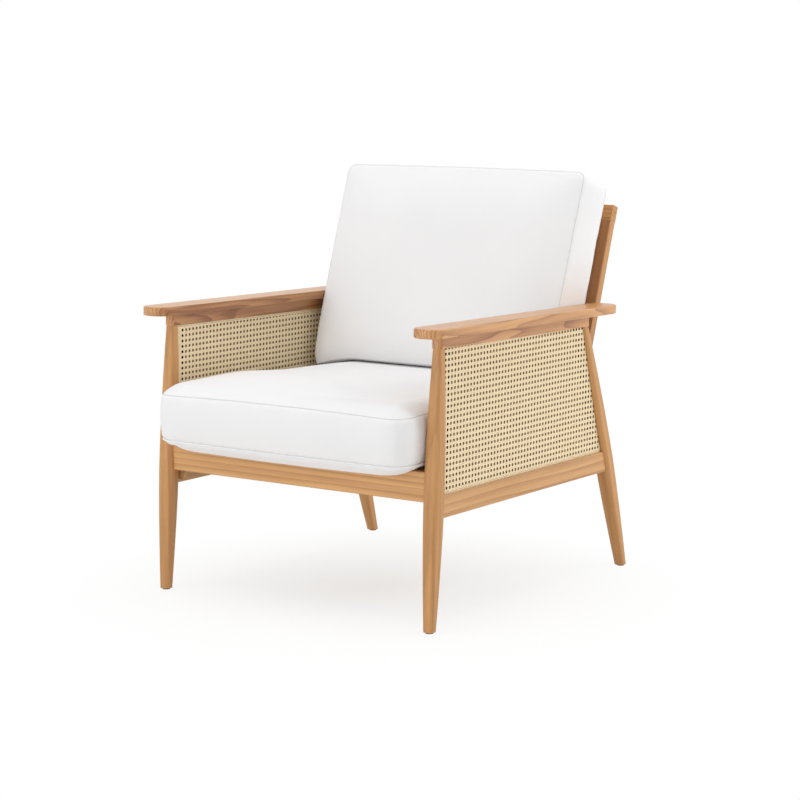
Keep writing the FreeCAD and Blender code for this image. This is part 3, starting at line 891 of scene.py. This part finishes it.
def lay_cloth(mesh):
    """A flat map in metres, each face laid along the axis that it looks along most."""
    layer = mesh.uv_layers.new(name="cloth")
    for face in mesh.polygons:
        axis = max(range(3), key=lambda i: abs(face.normal[i]))
        u, v = [i for i in range(3) if i != axis]
        for loop in face.loop_indices:
            place = mesh.vertices[mesh.loops[loop].vertex_index].co
            layer.data[loop].uv = (place[u], place[v])


def welt_group():
    """A sewn edge's thin welt along a line."""
    group, tree, given = node_group("sewn_welt", {"Radius": "Float", "Spacing": "Float", "Sides": "Int",
                                                 "Finish": "Material"})
    line = tree.add("GeometryNodeResampleCurve", {"Curve": given["Geometry"], "Length": given["Spacing"]},
                    mode="LENGTH")
    round_wire = tree.add("GeometryNodeCurvePrimitiveCircle", {"Radius": given["Radius"],
                                                               "Resolution": given["Sides"]})
    tube = tree.add("GeometryNodeCurveToMesh", {"Curve": line, "Profile Curve": round_wire,
                                                "Fill Caps": True})
    whole = tree.add("GeometryNodeRealizeInstances", {"Geometry": tube})
    done = tree.add("GeometryNodeSetMaterial", {"Geometry": whole, "Material": given["Finish"]})
    tree.add("NodeGroupOutput", {"Geometry": done})
    return group


def welt(group, name, points, closed, radius, finish):
    """A welt tube through points that lie on a cushion's cover."""
    curve = bpy.data.curves.new(name, "CURVE")
    curve.dimensions = "3D"
    spline = curve.splines.new("POLY")
    spline.points.add(len(points) - 1)
    for slot, point in zip(spline.points, points):
        slot.co = (*point, 1)
    spline.use_cyclic_u = closed
    line = bpy.data.objects.new(name + "_line", curve)
    bpy.context.collection.objects.link(line)
    run_group(line, group, {"Radius": radius, "Spacing": welt_step, "Sides": welt_sides,
                            "Finish": finish})
    piece = plain_mesh(line, name)
    piece.data.shade_smooth()
    lay_cloth(piece.data)
    return piece


def bell(distance, reach):
    """A share of 1 at no distance that falls away over a reach."""
    return math.exp(-(distance / reach) ** 2)


def smooth_share(value):
    """A share from 0 to 1 that leaves and arrives gently."""
    held = min(1.0, max(0.0, value))
    return held * held * (3 - 2 * held)


def between(value, limit):
    return min(limit, max(-limit, value))


def all_round(place):
    return 1.0


def seat_share(place):
    """How much the seat swells: fully at the front, not at all towards the back cushion."""
    return smooth_share((swell_rear - place.y) / (swell_rear - swell_front))


def seat_settled(place, normal, away):
    """The seat's crown filled and its seams drawn straight at the front, its rear sides pressed down."""
    front = seat_share(place)
    top = max(0.0, normal.z) ** 2 * (1 - bell(away, crown_ease))
    rise = max(0.0, crown_level - place.z) * crown_fill * top
    height = min(1.0, max(0.0, (place.z - low_seam) / (high_seam - low_seam)))
    corner = (place.x / seat_high.x) ** 2
    low_lift = low_corner_lift * corner
    high_lift = high_corner_lift * corner - high_middle_drop
    straighten = low_lift * (1 - height) + high_lift * height
    outer = smooth_share((abs(place.x) - rear_side_from) / (seat_high.x - rear_side_from))
    drop = rear_side_drop * height * outer
    below = smooth_share((low_seam - place.z) / (low_seam - seat_low.z))
    hang = lip_drop * below * smooth_share((lip_rear - place.y) / lip_reach)
    lift = (rise + straighten) * front - drop * (1 - front) - hang
    return Vector((between(place.x * seat_widen, seat_room), place.y, place.z + lift))


def back_settled(seat_skin):
    """A rule that keeps the back cushion between the armrests and lets its foot sag on to the seat."""
    solid = node_object("back_cushion").data
    feet = [face for face in solid.polygons if face.normal.z < foot_facing]
    foot = max(feet, key=lambda face: face.area)
    fall = -foot.normal.y / foot.normal.z

    def rule(place, normal, away):
        room = arm_room + arm_bulge * smooth_share((place.z - arm_high.z) / bulge_height)
        x = between(place.x * back_widen, room)
        underside = foot.center.z + (place.y - foot.center.y) * fall
        share = 1 - smooth_share((place.z - underside) / sag_reach)
        seat_x = between(x, seat_high.x - seat_edge)
        seat_y = min(place.y, seat_high.y - seat_edge)
        probe = Vector((seat_x, seat_y, back_high.z))
        rest = seat_skin.ray_cast(probe, downward)[0].z + rest_gap
        sag = max(-sag_most, rest - underside)
        return Vector((x, place.y, place.z + sag * share))

    return rule


def cushion(node, finish, threads, group, fullness, cap, foot, rests, clear, share, settled):
    """A filled cushion in place of its solid, with a welt along each sewn edge above a height.

    Its threads are the finishes and sizes of its welts from the lowest up, the last one for all further
    edges. Its rests are faces on which it lies: where each looks, its level and how it eases off.
    """
    solid = node_object(node).data
    lines = crease_lines(solid, clear)
    seams = point_tree([point for points, closed in lines for point in points])
    feet = point_tree(foot_points(solid, clear))
    foot_depth, foot_reach = foot

    def loose(place):
        """A share of 0 on the faces that the cushion rests on, up to 1 away from them."""
        return min(smooth_share((level - rest_band - place.dot(facing)) / ease)
                   for facing, level, ease in rests)

    def sewn(place, normal):
        away = seams.find(place)[2]
        fold = pucker_depth * max(0.0, noise3(place / pucker_length)) * bell(away, pucker_reach)
        groove = seam_groove * bell(away, seam_groove_reach)
        tuck = foot_depth * bell(feet.find(place)[2], foot_reach)
        full = fullness * share(place) * loose(place)
        return place - normal * (groove + fold + tuck - full)

    def settle(place, normal):
        return settled(place, normal, seams.find(place)[2])

    shell = remeshed(node + "_cover", solid)
    verts = shell.data.vertices
    holds = [max(0.0, 1 - (seams.find(vert.co)[2] / seam_hold_reach) ** 2) if loose(vert.co) else 1.0
             for vert in verts]
    blown_up(shell, holds, [cap * share(vert.co) * loose(vert.co) for vert in verts])
    smooth = shell.modifiers.new("smooth", "SUBSURF")
    smooth.levels = 1
    smooth.render_levels = 1
    cover = plain_mesh(shell, node + "_cover")
    reshape(cover.data, sewn)
    reshape(cover.data, settle)
    cover.data.shade_smooth()
    lay_cloth(cover.data)
    cover.data.materials.clear()
    cover.data.materials.append(finish)
    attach(cover, node)
    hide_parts(node)
    skin = BVHTree.FromPolygons([vert.co for vert in cover.data.vertices],
                                [face.vertices for face in cover.data.polygons])
    for number, (points, closed) in enumerate(lines, 1):
        thread, (radius, sink) = threads[min(number, len(threads)) - 1]
        path = []
        for point in points:
            place, normal, _, _ = skin.find_nearest(settled(point, upward, 0.0))
            path.append(place - normal * radius * sink)
        edge = welt(group, "%s_welt_%d" % (node, number), path, closed, radius, thread)
        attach(edge, node)
    return skin


def cushions():
    """The seat cushion on its slats and the back cushion that stands on it, against the back slats."""
    group = welt_group()
    white = cotton("white_cotton", cotton_light, cotton_dark)
    # the fine welts' grey stands partly for thread, partly as painted shade along the seams
    seam = cotton("seam_thread_and_painted_shade", seam_light, seam_dark)
    seat_skin = cushion("seat_cushion", white, [(white, bold_welt), (seam, fine_welt)], group,
                        fullness=seat_fullness, cap=seat_cap, foot=seat_foot,
                        rests=[(downward, -deck_level, rest_edge)], clear=seat_clear,
                        share=seat_share, settled=seat_settled)
    solid = node_object("back_cushion").data
    slat_level = max(vert.co.dot(lean_back) for vert in solid.vertices)
    rests = [(lean_back, slat_level, slat_ease), (downward, -back_low.z - rest_band, rest_edge)]
    cushion("back_cushion", white, [(seam, fine_welt)], group, fullness=back_fullness, cap=back_cap,
            foot=back_foot, rests=rests, clear=back_clear, share=all_round,
            settled=back_settled(seat_skin))


def seen_directly(tree):
    """1 for rays from the camera, from a shiny surface or through glass, and 0 for all others."""
    rays = tree.add("ShaderNodeLightPath")
    direct = rays.out("Is Camera Ray") + rays.out("Is Transmission Ray") + rays.out("Is Glossy Ray")
    return direct.held()


def studio():
    """A white floor that keeps the chair's shadow, soft light from all round and three large lamps."""
    scene = bpy.context.scene
    scene.view_settings.view_transform = "Standard"
    world = bpy.data.worlds.new("studio")
    world.use_nodes = True
    world.node_tree.nodes.clear()
    tree = Wire(world.node_tree)
    strength = seen_directly(tree) * (1 - sky_strength) + sky_strength
    sky = tree.add("ShaderNodeBackground", {"Color": plain_white, "Strength": strength})
    tree.add("ShaderNodeOutputWorld", {"Surface": sky})
    scene.world = world

    material, tree = new_material("studio_floor")
    away = tree.vector("DISTANCE", object_place(tree), shadow_middle, out=1) / shadow_reach
    matt = tree.add("ShaderNodeBsdfDiffuse", {"Color": floor_matt})
    glow = tree.add("ShaderNodeEmission", {"Color": plain_white, "Strength": 1.0})
    share = seen_directly(tree) * (away.held() * (1 - floor_glow) + floor_glow)
    both = tree.add("ShaderNodeMixShader", {0: share, 1: matt, 2: glow})
    tree.add("ShaderNodeOutputMaterial", {"Surface": both})
    bm = bmesh.new()
    bmesh.ops.create_grid(bm, x_segments=1, y_segments=1, size=floor_size)
    mesh = bpy.data.meshes.new("studio_floor")
    bm.to_mesh(mesh)
    bm.free()
    mesh.materials.append(material)
    floor = bpy.data.objects.new("studio_floor", mesh)
    bpy.context.collection.objects.link(floor)

    for name, lamp in lamps.items():
        area = bpy.data.lights.new(name, "AREA")
        area.size = lamp["size"]
        area.energy = lamp["power"]
        light = bpy.data.objects.new(name, area)
        light.location = lamp["place"]
        light.rotation_euler = (lamp_target - lamp["place"]).to_track_quat("-Z", "Y").to_euler()
        bpy.context.collection.objects.link(light)

    lens = bpy.data.cameras.new("camera")
    lens.lens = camera_lens
    lens.sensor_width = camera_sensor
    camera = bpy.data.objects.new("camera", lens)
    camera.location = camera_place
    camera.rotation_euler = camera_view.to_track_quat("-Z", "Y").to_euler()
    bpy.context.collection.objects.link(camera)
    scene.camera = camera


dress_frame()
cane_sheets()
cushions()
studio()
